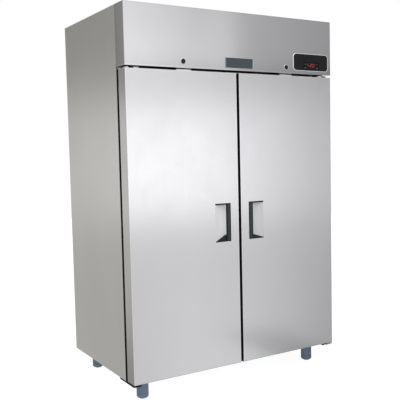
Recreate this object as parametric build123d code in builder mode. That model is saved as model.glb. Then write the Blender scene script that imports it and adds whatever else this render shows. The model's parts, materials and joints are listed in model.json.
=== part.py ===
from build123d import *
import os

os.makedirs("parts", exist_ok=True)

# ------------------------------------------------------------ driving dimensions (mm)
width = 1370.0  # cabinet across the side panels
depth = 835.0  # door face to the back
body_height = 1970.0  # casing without the feet
foot_height = 120.0

trim_proud = 3.0  # how far lock bezels and control panel stand in front of the door face
y_door = -(depth + trim_proud) / 2 + trim_proud  # door and header face
y_back = y_door + depth
y_cab = y_door + 102.0  # front of the cabinet, behind door and gasket
x_side = width / 2
z_body = foot_height
z_top = foot_height + body_height

sheet = 1.2  # outer sheet metal
liner_t = 1.0
wall = 70.0  # insulated wall
x_in = x_side - wall  # inside of the liner
y_in = y_back - wall - 2.0
z_in0 = z_body + wall + liner_t
z_in1 = 1700.0 - liner_t
z_deck = 1770.0  # top of the insulated box

door_t = 80.0
door_z0, door_z1 = 122.0, 1758.0
x_door = x_side - 1.0  # doors are a little narrower than the casing
x_seam = 7.5
pin_r = 6.0
pin_clear = 0.05
x_pin = x_door - 43.0
y_pin = y_door + 40.0
y_door_back = y_door + door_t

header_z0 = 1772.0
header_d = 100.0
y_header_back = y_door + header_d
hinge_y, hinge_z = y_header_back - 6.0, z_top - 4.0  # header hinge line

mullion_w, mullion_d = 76.0, 60.0

# recessed pull, measured outwards from the seam centre
pull_u0, pull_u1 = 62.0, 163.0  # seam side, far side
pull_z0, pull_z1 = 826.0, 1040.0
pull_bar = 28.0
pull_depth = 38.0
u_wall = pull_u0 + 4.0
u_deep = 78.0
pull_draft = 0.75  # rise of the lower cheek per mm of depth

lock_x, lock_z = 345.0, 1806.0
lock_reach = 46.0
badge_x0, badge_x1, badge_z0, badge_z1 = -78.0, 106.0, 1783.5, 1841.5
strike_a, strike_b = -24.0, 66.0  # strike ends from the lock's centre
panel_x0, panel_x1, panel_z0, panel_z1 = 400.0, 659.0, 1794.0, 1888.0
panel_r = 19.0
window_x, window_z, window_w, window_h = 531.5, 1822.0, 119.0, 44.0
key_w, key_h = 13.0, 9.0
keys = {"set": (486.0, 1810.0), "defrost": (486.0, 1831.0), "up": (577.0, 1832.0), "down": (577.0, 1810.0)}

leg_r = 33.0
leg_x = 577.0
leg_y_front, leg_y_rear = y_door + 126.0, y_back - 80.0
pad_r = 19.0
foot_top = 31.0
stem_r = 8.0

shelf_levels = (560.0, 930.0, 1300.0)
shelf_x0, shelf_x1 = 8.0, 600.0
shelf_y0, shelf_y1 = y_cab + 74.0, y_in - 14.0
pilaster_t, pilaster_w = 10.0, 24.0
pilaster_z0, pilaster_z1 = 230.0, 1530.0
pilaster_y = (-200.0, 280.0)

evap_x, evap_y0, evap_z0 = 520.0, 60.0, 1560.0
evap_fan_x, evap_fan_z, evap_fan_r = 260.0, 1630.0, 64.0
cond_x0, cond_x1, cond_y0, cond_y1, cond_z0, cond_z1 = 60.0, 400.0, -262.0, -192.0, 1790.0, 2070.0
cond_fan_x, cond_fan_z, cond_fan_r = 230.0, 1930.0, 110.0
comp_x, comp_y, comp_r = -150.0, 60.0, 80.0
y_grille = y_back - 11.2


# ------------------------------------------------------------ profile helpers
def slab(x0, x1, y0, y1, z0, z1, mode=Mode.ADD):
    """A rectangular plate or block between two corners."""
    with BuildSketch(Plane.XY.offset(z0)) as s:
        with Locations(((x0 + x1) / 2, (y0 + y1) / 2)):
            Rectangle(abs(x1 - x0), abs(y1 - y0))
    extrude(s.sketch, amount=z1 - z0, mode=mode)


def plan(points, z0, z1, mode=Mode.ADD):
    """A prism with its outline in plan."""
    with BuildSketch(Plane.XY.offset(z0)) as s:
        with BuildLine():
            Polyline(*points, close=True)
        make_face()
    extrude(s.sketch, amount=z1 - z0, mode=mode)


def side(points, x0, x1, mode=Mode.ADD):
    """A prism with its outline in the Y-Z plane."""
    with BuildSketch(Plane.YZ.offset(x0)) as s:
        with BuildLine():
            Polyline(*points, close=True)
        make_face()
    extrude(s.sketch, amount=x1 - x0, mode=mode)


def rod_z(x, y, r, z0, z1, mode=Mode.ADD):
    with BuildSketch(Plane.XY.offset(z0)) as s:
        with Locations((x, y)):
            Circle(r)
    extrude(s.sketch, amount=z1 - z0, mode=mode)


def rod_y(x, z, r, y0, y1, mode=Mode.ADD):
    with BuildSketch(Plane.XZ.offset(-y1)) as s:
        with Locations((x, z)):
            Circle(r)
    extrude(s.sketch, amount=y1 - y0, mode=mode)


def rod_x(y, z, r, x0, x1, mode=Mode.ADD):
    with BuildSketch(Plane.YZ.offset(x0)) as s:
        with Locations((y, z)):
            Circle(r)
    extrude(s.sketch, amount=x1 - x0, mode=mode)


def rounded_y(x, z, w, h, r, y0, y1, mode=Mode.ADD):
    """A plate facing the front, with rounded corners."""
    with BuildSketch(Plane.XZ.offset(-y1)) as s:
        with Locations((x, z)):
            RectangleRounded(w, h, r)
    extrude(s.sketch, amount=y1 - y0, mode=mode)


def write(piece, name):
    piece.part.label = name
    export_step(piece.part, f"parts/{name}.step")


# ------------------------------------------------------------ casing
# Side panels: plain stainless sheets the full height of the casing.
with BuildPart() as side_panel_left:
    slab(-x_side, -x_side + sheet, y_cab, y_back, z_body, z_top)
write(side_panel_left, "side_panel_left")

with BuildPart() as side_panel_right:
    slab(x_side - sheet, x_side, y_cab, y_back, z_body, z_top)
write(side_panel_right, "side_panel_right")

x_shell = x_side - sheet

with BuildPart() as rear_panel:
    slab(-x_shell, x_shell, y_back - sheet, y_back, z_body, z_deck + sheet)
write(rear_panel, "rear_panel")

with BuildPart() as bottom_panel:
    slab(-x_shell, x_shell, y_cab, y_back - sheet, z_body, z_body + sheet)
write(bottom_panel, "bottom_panel")

with BuildPart() as machine_deck:
    slab(-x_shell, x_shell, y_cab, y_back - sheet, z_deck, z_deck + sheet)
write(machine_deck, "machine_deck")

# Top cover with three banks of vent slots over the condensing unit.
with BuildPart() as top_cover:
    slab(-x_shell, x_shell, y_cab, y_back, z_top - sheet, z_top)
    with BuildSketch(Plane.XY.offset(z_top - sheet)) as vents:
        for x_bank in (-400.0, 0.0, 400.0):
            with Locations((x_bank, 110.0)):
                with GridLocations(0, 22.0, 1, 18):
                    SlotOverall(240.0, 8.0)
    extrude(amount=sheet, mode=Mode.SUBTRACT)
write(top_cover, "top_cover")

# Rear grille of the machine compartment, set 10 mm in from the back.
with BuildPart() as rear_grille:
    slab(-x_shell, x_shell, y_grille, y_grille + sheet, z_deck + sheet, z_top - sheet)
    with BuildSketch(Plane.XZ.offset(-y_grille - sheet)) as louvres:
        for x_bank in (-430.0, -140.0, 150.0, 440.0):
            with Locations((x_bank, 1955.0)):
                with GridLocations(0, 16.0, 1, 13):
                    SlotOverall(220.0, 7.0)
    extrude(amount=sheet, mode=Mode.SUBTRACT)
    rod_y(560.0, 1805.0, 9.2, y_grille, y_grille + sheet, Mode.SUBTRACT)
write(rear_grille, "rear_grille")

# Front frame of the machine compartment, with side legs behind it.
with BuildPart() as machine_frame:
    slab(-x_shell, x_shell, y_cab, y_cab + 2.5, z_deck + sheet, z_top - sheet)
    slab(-650.0, 650.0, y_cab, y_cab + 2.5, 1825.0, 2055.0, Mode.SUBTRACT)
    for s in (-1, 1):
        slab(s * (x_shell - 2.5), s * x_shell, y_cab + 2.5, y_cab + 32.0, z_deck + sheet, z_top - sheet)
write(machine_frame, "machine_frame")

# ------------------------------------------------------------ insulated box
y_foam = y_cab + 8.0
with BuildPart() as cabinet_insulation:
    slab(-x_shell, x_shell, y_foam, y_back - sheet, z_body + sheet, z_deck)
    slab(-x_in - liner_t, x_in + liner_t, y_foam, y_in + liner_t, z_in0 - liner_t, z_in1 + liner_t, Mode.SUBTRACT)
write(cabinet_insulation, "cabinet_insulation")

with BuildPart() as inner_liner:
    slab(-x_in - liner_t, x_in + liner_t, y_foam, y_in + liner_t, z_in0 - liner_t, z_in1 + liner_t)
    slab(-x_in, x_in, y_foam, y_in, z_in0, z_in1, Mode.SUBTRACT)
write(inner_liner, "inner_liner")

# Front frame round the opening: the plastic thermal break that the gaskets close on.
with BuildPart() as front_frame:
    slab(-x_shell, x_shell, y_cab, y_foam, z_body + sheet, z_deck)
    slab(-x_in, x_in, y_cab, y_foam, z_in0, z_in1, Mode.SUBTRACT)
write(front_frame, "front_frame")

with BuildPart() as center_mullion:
    slab(-mullion_w / 2, mullion_w / 2, y_cab, y_cab + mullion_d, z_in0, z_in1)
    fillet(center_mullion.edges().filter_by(Axis.Z).group_by(Axis.Y)[-1], 6.0)
write(center_mullion, "center_mullion")

# ------------------------------------------------------------ shelving
with BuildPart() as pilaster_pattern:
    with BuildSketch(Plane.XY) as channel:
        Rectangle(pilaster_w, pilaster_t)
        with Locations((0, 0.75)):
            Rectangle(pilaster_w - 3.0, pilaster_t - 1.5, mode=Mode.SUBTRACT)
    extrude(amount=pilaster_z1 - pilaster_z0)
    with BuildSketch(Plane.XZ.offset(-pilaster_t / 2)) as slots:
        with Locations((0, (pilaster_z1 - pilaster_z0) / 2)):
            with GridLocations(0, 50.0, 1, 25):
                Rectangle(12.0, 4.0)
    extrude(amount=pilaster_t, mode=Mode.SUBTRACT)

with BuildPart() as shelf_pilasters:
    with Locations(
        Location((-x_in + pilaster_t / 2, pilaster_y[0], pilaster_z0), (0, 0, 90)),
        Location((-x_in + pilaster_t / 2, pilaster_y[1], pilaster_z0), (0, 0, 90)),
        Location((x_in - pilaster_t / 2, pilaster_y[0], pilaster_z0), (0, 0, -90)),
        Location((x_in - pilaster_t / 2, pilaster_y[1], pilaster_z0), (0, 0, -90)),
        Location((-20.0, y_in - pilaster_t / 2, pilaster_z0)),
        Location((20.0, y_in - pilaster_t / 2, pilaster_z0)),
        Location((-20.0, y_cab + mullion_d + pilaster_t / 2, pilaster_z0), (0, 0, 180)),
        Location((20.0, y_cab + mullion_d + pilaster_t / 2, pilaster_z0), (0, 0, 180)),
    ):
        add(pilaster_pattern.part)
write(shelf_pilasters, "shelf_pilasters")

with BuildPart() as shelf_clips:
    for z in shelf_levels:
        for s in (-1, 1):
            for y in pilaster_y:
                slab(s * (x_in - pilaster_t), s * 588.0, y - 7.0, y + 7.0, z - 10.0, z)
            slab(s * 13.0, s * 27.0, y_in - pilaster_t - 16.0, y_in - pilaster_t, z - 10.0, z)
            slab(s * 13.0, s * 27.0, y_cab + mullion_d + pilaster_t, y_cab + mullion_d + pilaster_t + 16.0, z - 10.0, z)
write(shelf_clips, "shelf_clips")

# One shelf: rim, front-to-back wires and two cross bars under them.
with BuildPart() as shelf_pattern:
    with BuildSketch(Plane.XY) as rim:
        with Locations(((shelf_x0 + shelf_x1) / 2, (shelf_y0 + shelf_y1) / 2)):
            Rectangle(shelf_x1 - shelf_x0, shelf_y1 - shelf_y0)
            Rectangle(shelf_x1 - shelf_x0 - 14.0, shelf_y1 - shelf_y0 - 14.0, mode=Mode.SUBTRACT)
    extrude(amount=7.0)
    with BuildSketch(Plane.XY.offset(3.0)) as wires:
        with Locations(((shelf_x0 + shelf_x1) / 2, (shelf_y0 + shelf_y1) / 2)):
            with GridLocations(26.0, 0, 21, 1):
                Rectangle(4.0, shelf_y1 - shelf_y0 - 6.0)
    extrude(amount=4.0)
    with BuildSketch(Plane.XY.offset(-1.0)) as bars:
        with Locations(((shelf_x0 + shelf_x1) / 2, -95.0), ((shelf_x0 + shelf_x1) / 2, 185.0)):
            Rectangle(shelf_x1 - shelf_x0 - 6.0, 6.0)
    extrude(amount=5.0)

with BuildPart() as shelves:
    with Locations(*[(0, 0, z) for z in shelf_levels]):
        add(shelf_pattern.part)
    mirror(about=Plane.YZ)
write(shelves, "shelves")

# ------------------------------------------------------------ hinge brackets
# Bottom plates carry the pivot pins, the top angles hang the upper pins.
with BuildPart() as hinge_brackets:
    for s in (-1, 1):
        plan(
            [(s * 684.0, y_door + 5.0), (s * 644.0, y_door + 5.0), (s * 614.0, y_door + 35.0), (s * 614.0, -330.0), (s * 624.0, -320.0), (s * 624.0, -237.0), (s * 684.0, -237.0)],
            110.0,
            z_body,
        )
        rod_z(s * x_pin, y_pin, pin_r, z_body - 1.0, 144.0)
        with BuildSketch(Plane.XY.offset(101.0)) as nut:
            with Locations((s * x_pin, y_pin)):
                RegularPolygon(10.5, 6)
        extrude(amount=10.0)
        slab(s * 598.0, s * 668.0, -398.0, y_cab, 1761.0, 1767.0)
        slab(s * 598.0, s * 668.0, y_cab - 5.0, y_cab, 1766.0, 1815.0)
        rod_z(s * x_pin, y_pin, pin_r, 1734.0, 1762.0)
        with BuildSketch(Plane.XY.offset(1766.0)) as cap:
            with Locations((s * x_pin, y_pin)):
                RegularPolygon(9.0, 6)
        extrude(amount=4.5)
write(hinge_brackets, "hinge_brackets")

# ------------------------------------------------------------ legs and feet
leg_places = {"front_left": (-leg_x, leg_y_front), "front_right": (leg_x, leg_y_front), "rear_left": (-leg_x, leg_y_rear), "rear_right": (leg_x, leg_y_rear)}
with BuildPart() as leg_tubes:
    for x, y in leg_places.values():
        rod_z(x, y, leg_r, foot_top + 1.0, z_body)
        rod_z(x, y, stem_r + pin_clear, foot_top + 1.0, 95.0, Mode.SUBTRACT)
write(leg_tubes, "leg_tubes")


def foot_profile(x, y):
    """Half section of a levelling foot: pad, rounded shoulder, skirt and threaded stem."""
    with BuildSketch(Plane(origin=(x, y, 0), x_dir=(1, 0, 0), z_dir=(0, -1, 0))) as s:
        with BuildLine():
            Polyline((0, 0), (pad_r, 0), (pad_r, 3), (leg_r - 12, 3))
            ThreePointArc((leg_r - 12, 3), (leg_r - 12 + 12 * 0.70711, 15 - 12 * 0.70711), (leg_r, 15))
            Polyline((leg_r, 15), (leg_r, foot_top), (stem_r, foot_top), (stem_r, 92.0), (0, 92.0), (0, 0))
        make_face()
    revolve(s.sketch, axis=Axis((x, y, 0), (0, 0, 1)))


with BuildPart() as foot_front_left:
    foot_profile(*leg_places["front_left"])
write(foot_front_left, "foot_front_left")
with BuildPart() as foot_front_right:
    foot_profile(*leg_places["front_right"])
write(foot_front_right, "foot_front_right")
with BuildPart() as foot_rear_left:
    foot_profile(*leg_places["rear_left"])
write(foot_rear_left, "foot_rear_left")
with BuildPart() as foot_rear_right:
    foot_profile(*leg_places["rear_right"])
write(foot_rear_right, "foot_rear_right")

# ------------------------------------------------------------ left door (the right one is its mirror image)
slope = pull_depth / (pull_u1 - u_deep)
pocket = [(-pull_u1, y_door), (-u_deep, y_door + pull_depth), (-u_wall, y_door + pull_depth), (-u_wall, y_door - 4.0), (-pull_u1, y_door - 4.0)]
n_len = (1 + slope * slope) ** 0.5
off = sheet * n_len  # depth of the floor's back face behind its front face
dish = [
    (-pull_u1, y_door),
    (-pull_u1, y_door + off),
    (-(u_deep + (off - sheet) / slope), y_door + pull_depth + sheet),
    (-(u_wall - sheet), y_door + pull_depth + sheet),
    (-(u_wall - sheet), y_door + sheet / 2),
    (-(pull_u1 - sheet / 2 / slope), y_door + sheet / 2),
]
hole_z0, hole_z1 = pull_z0 + 3.0, pull_z1 - 2.0
liner_x0, liner_x1 = -x_pin, -10.0
liner_z0, liner_z1 = door_z0 + 8.0, door_z1 - 8.0

# Outer pan: face, four returns, a lip round the back, and the drawn pocket of the pull.
with BuildPart() as door_panel_left:
    slab(-x_door, -x_seam, y_door, y_door_back, door_z0, door_z1)
    slab(-x_door + sheet, -x_seam - sheet, y_door + sheet, y_door_back - sheet, door_z0 + sheet, door_z1 - sheet, Mode.SUBTRACT)
    slab(liner_x0, liner_x1, y_door_back - sheet, y_door_back, liner_z0, liner_z1, Mode.SUBTRACT)
    plan(dish, hole_z0 - sheet, hole_z1 + sheet)
    plan(pocket, hole_z0, hole_z1, Mode.SUBTRACT)
    rod_z(-x_pin, y_pin, 10.1, door_z0, door_z0 + sheet, Mode.SUBTRACT)
    rod_z(-x_pin, y_pin, 10.1, door_z1 - sheet, door_z1, Mode.SUBTRACT)
    fillet(door_panel_left.edges().filter_by(Axis.Z).group_by(Axis.Y)[0].sort_by(Axis.X)[0], 2.0)
write(door_panel_left, "door_panel_left")

core_pocket = [
    (-pull_u1, y_door + off),
    (-(u_deep + (off - sheet) / slope), y_door + pull_depth + sheet),
    (-(u_wall - sheet), y_door + pull_depth + sheet),
    (-(u_wall - sheet), y_door),
    (-pull_u1, y_door),
]
with BuildPart() as door_core_left:
    slab(-x_door + sheet, -x_seam - sheet, y_door + sheet, y_door_back - sheet, door_z0 + sheet, door_z1 - sheet)
    fillet(door_core_left.edges().filter_by(Axis.Z).group_by(Axis.Y)[0].sort_by(Axis.X)[0], 1.5)
    slab(liner_x0, liner_x1, y_door_back - sheet - 1.0, y_door_back, liner_z0, liner_z1)
    with BuildSketch(Plane.XZ.offset(-y_door_back + 1.0)) as swell:
        with Locations(((liner_x0 + liner_x1) / 2, (liner_z0 + liner_z1) / 2)):
            Rectangle(528.0 - 2 * sheet - 2, 1488.0 - 2 * sheet - 2)
    extrude(amount=-13.8, taper=40)
    plan(core_pocket, hole_z0 - sheet, hole_z1 + sheet, Mode.SUBTRACT)
    rod_z(-x_pin, y_pin, 10.1, door_z0 + sheet, 148.2, Mode.SUBTRACT)
    rod_z(-x_pin, y_pin, 10.1, 1731.8, door_z1 - sheet, Mode.SUBTRACT)
write(door_core_left, "door_core_left")

# Formed inner liner with a raised middle; the gasket is held on its flat border.
with BuildPart() as door_liner_left:
    slab(liner_x0, liner_x1, y_door_back, y_door_back + sheet, liner_z0, liner_z1)
    with BuildSketch(Plane.XZ.offset(-y_door_back)) as raised:
        with Locations(((liner_x0 + liner_x1) / 2, (liner_z0 + liner_z1) / 2)):
            Rectangle(528.0, 1488.0)
    extrude(amount=-14.0, taper=40)
    with BuildSketch(Plane.XZ.offset(-y_door_back + 1.0)) as hollow:
        with Locations(((liner_x0 + liner_x1) / 2, (liner_z0 + liner_z1) / 2)):
            Rectangle(528.0 - 2 * sheet - 2, 1488.0 - 2 * sheet - 2)
    extrude(amount=-13.8, taper=40, mode=Mode.SUBTRACT)
write(door_liner_left, "door_liner_left")

gasket_x0, gasket_x1 = liner_x0 + 1.0, -12.5
gasket_z0, gasket_z1 = 160.0, 1726.0
gasket_w = 14.0
with BuildPart() as door_gasket_left:
    y_seal = y_cab - 0.5
    slab(gasket_x0, gasket_x1, y_door_back + sheet, y_seal, gasket_z0, gasket_z1)
    slab(gasket_x0 + gasket_w, gasket_x1 - gasket_w, y_door_back + sheet, y_seal, gasket_z0 + gasket_w, gasket_z1 - gasket_w, Mode.SUBTRACT)
    # a fold of the bellows, a groove round the outside
    slab(gasket_x0 - 1, gasket_x1 + 1, y_seal - 10.0, y_seal - 7.0, gasket_z0 - 1, gasket_z1 + 1, Mode.SUBTRACT)
    slab(gasket_x0 + 4.0, gasket_x1 - 4.0, y_seal - 10.0, y_seal - 7.0, gasket_z0 + 4.0, gasket_z1 - 4.0)
    slab(gasket_x0 + gasket_w, gasket_x1 - gasket_w, y_door_back + sheet, y_seal, gasket_z0 + gasket_w, gasket_z1 - gasket_w, Mode.SUBTRACT)
write(door_gasket_left, "door_gasket_left")

# Dark pull: upright grip bar, thin upper cheek and drafted lower cheek.
fit = 0.2
grip_plan = [(-pull_u1 + 2.0, y_door), (-pull_u1 + 2.0, y_door + 2.0 * slope - fit), (-u_deep - fit, y_door + pull_depth - fit), (-u_wall - fit, y_door + pull_depth - fit), (-u_wall - fit, y_door)]
with BuildPart() as handle_grip_left:
    slab(-pull_u0 - pull_bar, -pull_u0, y_door - 2.0, y_door, pull_z0, pull_z1)
    fillet(handle_grip_left.edges().filter_by(Axis.Z).group_by(Axis.Y)[0], 1.6)
    slab(-pull_u0 - pull_bar, -u_wall - fit, y_door, y_door + 6.0, hole_z0 + fit, hole_z1 - fit)
    slab(-pull_u1, -pull_u0 - pull_bar + 2.0, y_door - 1.2, y_door, pull_z1 - 8.0, pull_z1)
    slab(-pull_u1, -pull_u0 - pull_bar + 2.0, y_door - 1.2, y_door, pull_z0, hole_z0 + 1.5)
    plan(grip_plan, pull_z1 - 8.0, hole_z1 - fit)
    plan(grip_plan, hole_z0 + fit, hole_z0 + pull_draft * pull_depth + 4.0)
    z_cut = hole_z0 + 1.5
    side(
        [(y_door, z_cut), (y_door + pull_depth + 1.0, z_cut + pull_draft * (pull_depth + 1.0)), (y_door + pull_depth + 1.0, z_cut + 60.0), (y_door, z_cut + 60.0)],
        -pull_u1,
        -pull_u0 - pull_bar,
        Mode.SUBTRACT,
    )
    side(
        [(y_door + 6.0, z_cut + pull_draft * 6.0), (y_door + pull_depth + 1.0, z_cut + pull_draft * (pull_depth + 1.0)), (y_door + pull_depth + 1.0, z_cut + 60.0), (y_door + 6.0, z_cut + 60.0)],
        -pull_u0 - pull_bar,
        -u_wall + 1.0,
        Mode.SUBTRACT,
    )
write(handle_grip_left, "handle_grip_left")

with BuildPart() as hinge_bushes_left:
    rod_z(-x_pin, y_pin, 10.0, door_z0, 148.0)
    rod_z(-x_pin, y_pin, 15.0, z_body + 0.3, door_z0)
    rod_z(-x_pin, y_pin, 10.0, 1732.0, door_z1)
    rod_z(-x_pin, y_pin, 15.0, door_z1, door_z1 + 1.8)
    rod_z(-x_pin, y_pin, pin_r + pin_clear, z_body, 1760.0, Mode.SUBTRACT)
write(hinge_bushes_left, "hinge_bushes_left")

# Strike: an angle on the door top that the lock cam drops in front of.
with BuildPart() as lock_strike_left:
    slab(-lock_x + strike_a, -lock_x + strike_b, y_door + 33.0, y_door + 35.5, door_z1, door_z1 + 10.5)
    slab(-lock_x + strike_a, -lock_x + strike_b, y_door + 33.0, y_door + 55.0, door_z1, door_z1 + 2.0)
write(lock_strike_left, "lock_strike_left")

# ------------------------------------------------------------ right door
with BuildPart() as door_panel_right:
    mirror(door_panel_left.part, about=Plane.YZ)
write(door_panel_right, "door_panel_right")
with BuildPart() as door_core_right:
    mirror(door_core_left.part, about=Plane.YZ)
write(door_core_right, "door_core_right")
with BuildPart() as door_liner_right:
    mirror(door_liner_left.part, about=Plane.YZ)
write(door_liner_right, "door_liner_right")
with BuildPart() as door_gasket_right:
    mirror(door_gasket_left.part, about=Plane.YZ)
write(door_gasket_right, "door_gasket_right")
with BuildPart() as handle_grip_right:
    mirror(handle_grip_left.part, about=Plane.YZ)
write(handle_grip_right, "handle_grip_right")
with BuildPart() as hinge_bushes_right:
    mirror(hinge_bushes_left.part, about=Plane.YZ)
write(hinge_bushes_right, "hinge_bushes_right")
with BuildPart() as lock_strike_right:
    slab(lock_x + strike_a, lock_x + strike_b, y_door + 33.0, y_door + 35.5, door_z1, door_z1 + 10.5)
    slab(lock_x + strike_a, lock_x + strike_b, y_door + 33.0, y_door + 55.0, door_z1, door_z1 + 2.0)
write(lock_strike_right, "lock_strike_right")

# ------------------------------------------------------------ header
# Tray open at the back: face, returns, lock and controller cut-outs, cam slots, bracket notches.
with BuildPart() as header_panel:
    slab(-x_side, x_side, y_door, y_header_back, header_z0, z_top)
    fillet(header_panel.edges().filter_by(Axis.Z).group_by(Axis.Y)[0], 2.0)
    slab(-x_side + sheet, x_side - sheet, y_door + sheet, y_header_back, header_z0 + sheet, z_top - sheet, Mode.SUBTRACT)
    for s in (-1, 1):
        rod_y(s * lock_x, lock_z, 10.0, y_door, y_door + sheet, Mode.SUBTRACT)
        slab(s * (lock_x + 10.0), s * (lock_x - 36.0), y_door + 22.0, y_door + 33.0, header_z0, header_z0 + sheet, Mode.SUBTRACT)
        slab(s * 594.0, s * 672.0, y_header_back - 8.0, y_header_back, header_z0, header_z0 + sheet, Mode.SUBTRACT)
    slab(window_x - 56.0, window_x + 56.0, y_door, y_door + sheet, window_z - 20.0, window_z + 20.0, Mode.SUBTRACT)
write(header_panel, "header_panel")

with BuildPart() as name_plate:
    rounded_y((badge_x0 + badge_x1) / 2, (badge_z0 + badge_z1) / 2, badge_x1 - badge_x0, badge_z1 - badge_z0, 3.0, y_door - 2.0, y_door)
    rounded_y((badge_x0 + badge_x1) / 2, (badge_z0 + badge_z1) / 2, badge_x1 - badge_x0 - 7.0, badge_z1 - badge_z0 - 7.0, 2.0, y_door - 2.0, y_door - 1.4, Mode.SUBTRACT)
write(name_plate, "name_plate")

with BuildPart() as control_panel:
    rounded_y((panel_x0 + panel_x1) / 2, (panel_z0 + panel_z1) / 2, panel_x1 - panel_x0, panel_z1 - panel_z0, panel_r, y_door - 3.0, y_door)
    chamfer(control_panel.faces().sort_by(Axis.Y)[0].edges(), 0.8)
    rounded_y(window_x, window_z, window_w, window_h, 3.0, y_door - 3.0, y_door, Mode.SUBTRACT)
write(control_panel, "control_panel")

with BuildPart() as temperature_controller:
    rounded_y(window_x, window_z, window_w - 1.0, window_h - 1.0, 2.5, y_door - 2.2, y_door)
    slab(window_x - 55.0, window_x + 55.0, y_door - 0.5, y_door + 66.0, window_z - 19.0, window_z + 19.0)
    for x, z in keys.values():
        rounded_y(x, z, key_w + 0.8, key_h + 0.8, 2.2, y_door - 2.2, y_door + 8.0, Mode.SUBTRACT)
write(temperature_controller, "temperature_controller")


def key_cap(x, z):
    """A push key: cap with softened rim, standing 0.8 mm out of the controller."""
    rounded_y(x, z, key_w, key_h, 2.0, y_door - 3.0, y_door + 5.0)


with BuildPart() as button_set:
    key_cap(*keys["set"])
    fillet(button_set.faces().sort_by(Axis.Y)[0].edges(), 0.5)
write(button_set, "button_set")
with BuildPart() as button_defrost:
    key_cap(*keys["defrost"])
    fillet(button_defrost.faces().sort_by(Axis.Y)[0].edges(), 0.5)
write(button_defrost, "button_defrost")
with BuildPart() as button_up:
    key_cap(*keys["up"])
    fillet(button_up.faces().sort_by(Axis.Y)[0].edges(), 0.5)
write(button_up, "button_up")
with BuildPart() as button_down:
    key_cap(*keys["down"])
    fillet(button_down.faces().sort_by(Axis.Y)[0].edges(), 0.5)
write(button_down, "button_down")

# Header hinges: fixed halves with their pins on the machine frame, moving leaves under the header's top return.
hinge_places = (-450.0, 450.0)
with BuildPart() as header_hinge_brackets:
    for x in hinge_places:
        side(
            [
                (hinge_y - 1.0, hinge_z - 3.6),
                (hinge_y - 1.0, hinge_z - 10.0),
                (y_cab - 1.5, hinge_z - 10.0),
                (y_cab - 1.5, hinge_z - 28.0),
                (y_cab, hinge_z - 28.0),
                (y_cab, hinge_z - 8.8),
                (hinge_y + 0.2, hinge_z - 8.8),
                (hinge_y + 0.2, hinge_z - 3.6),
            ],
            x - 45.0,
            x + 45.0,
        )
        for a, b in ((x - 45.0, x - 16.0), (x + 16.0, x + 45.0)):
            side([(hinge_y - 1.0, hinge_z - 4.0), (hinge_y + 0.2, hinge_z - 4.0), (hinge_y + 0.2, hinge_z), (hinge_y - 1.0, hinge_z)], a, b)
            rod_x(hinge_y, hinge_z, 2.4, a, b)
        rod_x(hinge_y, hinge_z, 1.2, x - 45.0, x + 45.0)
write(header_hinge_brackets, "header_hinge_brackets")

with BuildPart() as header_hinge_leaves:
    for x in hinge_places:
        slab(x - 45.0, x + 45.0, hinge_y - 26.0, hinge_y - 4.5, z_top - sheet - 1.2, z_top - sheet)
        slab(x - 15.0, x + 15.0, hinge_y - 5.0, hinge_y, z_top - sheet - 1.2, z_top - sheet)
        rod_x(hinge_y, hinge_z, 2.6, x - 15.0, x + 15.0)
        rod_x(hinge_y, hinge_z, 1.25, x - 15.0, x + 15.0, Mode.SUBTRACT)
write(header_hinge_leaves, "header_hinge_leaves")

# Cam locks: fixed housings, and turning plugs with their cams.
with BuildPart() as lock_housings:
    for s in (-1, 1):
        rod_y(s * lock_x, lock_z, 13.5, y_door - 3.0, y_door)
        rod_y(s * lock_x, lock_z, 9.8, y_door, y_door + 24.0)
        with BuildSketch(Plane.XZ.offset(-(y_door + sheet + 5.0))) as ring_nut:
            with Locations((s * lock_x, lock_z)):
                RegularPolygon(14.0, 6)
        extrude(amount=5.0)
        rod_y(s * lock_x, lock_z, 7.05, y_door - 3.0, y_door + 24.0, Mode.SUBTRACT)
    chamfer(lock_housings.edges().filter_by(GeomType.CIRCLE).group_by(Axis.Y)[0].group_by(SortBy.RADIUS)[-1], 1.2)
write(lock_housings, "lock_housings")


def lock_plug(x, toward):
    rod_y(x, lock_z, 7.0, y_door - 2.6, y_door + 24.5)
    slab(x - 0.9, x + 0.9, y_door - 2.6, y_door + 2.0, lock_z - 4.5, lock_z + 4.5, Mode.SUBTRACT)
    with BuildSketch(Plane.XZ.offset(-(y_door + 27.5))) as cam:
        with Locations((x, lock_z)):
            Circle(9.0)
        with Locations((x + toward * (lock_reach - 8.0) / 2, lock_z)):
            Rectangle(lock_reach - 8.0, 16.0)
        with Locations((x + toward * (lock_reach - 8.0), lock_z)):
            Circle(8.0)
    extrude(cam.sketch, amount=3.0)


with BuildPart() as lock_cylinder_left:
    lock_plug(-lock_x, 1)
write(lock_cylinder_left, "lock_cylinder_left")
with BuildPart() as lock_cylinder_right:
    lock_plug(lock_x, -1)
write(lock_cylinder_right, "lock_cylinder_right")

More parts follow.
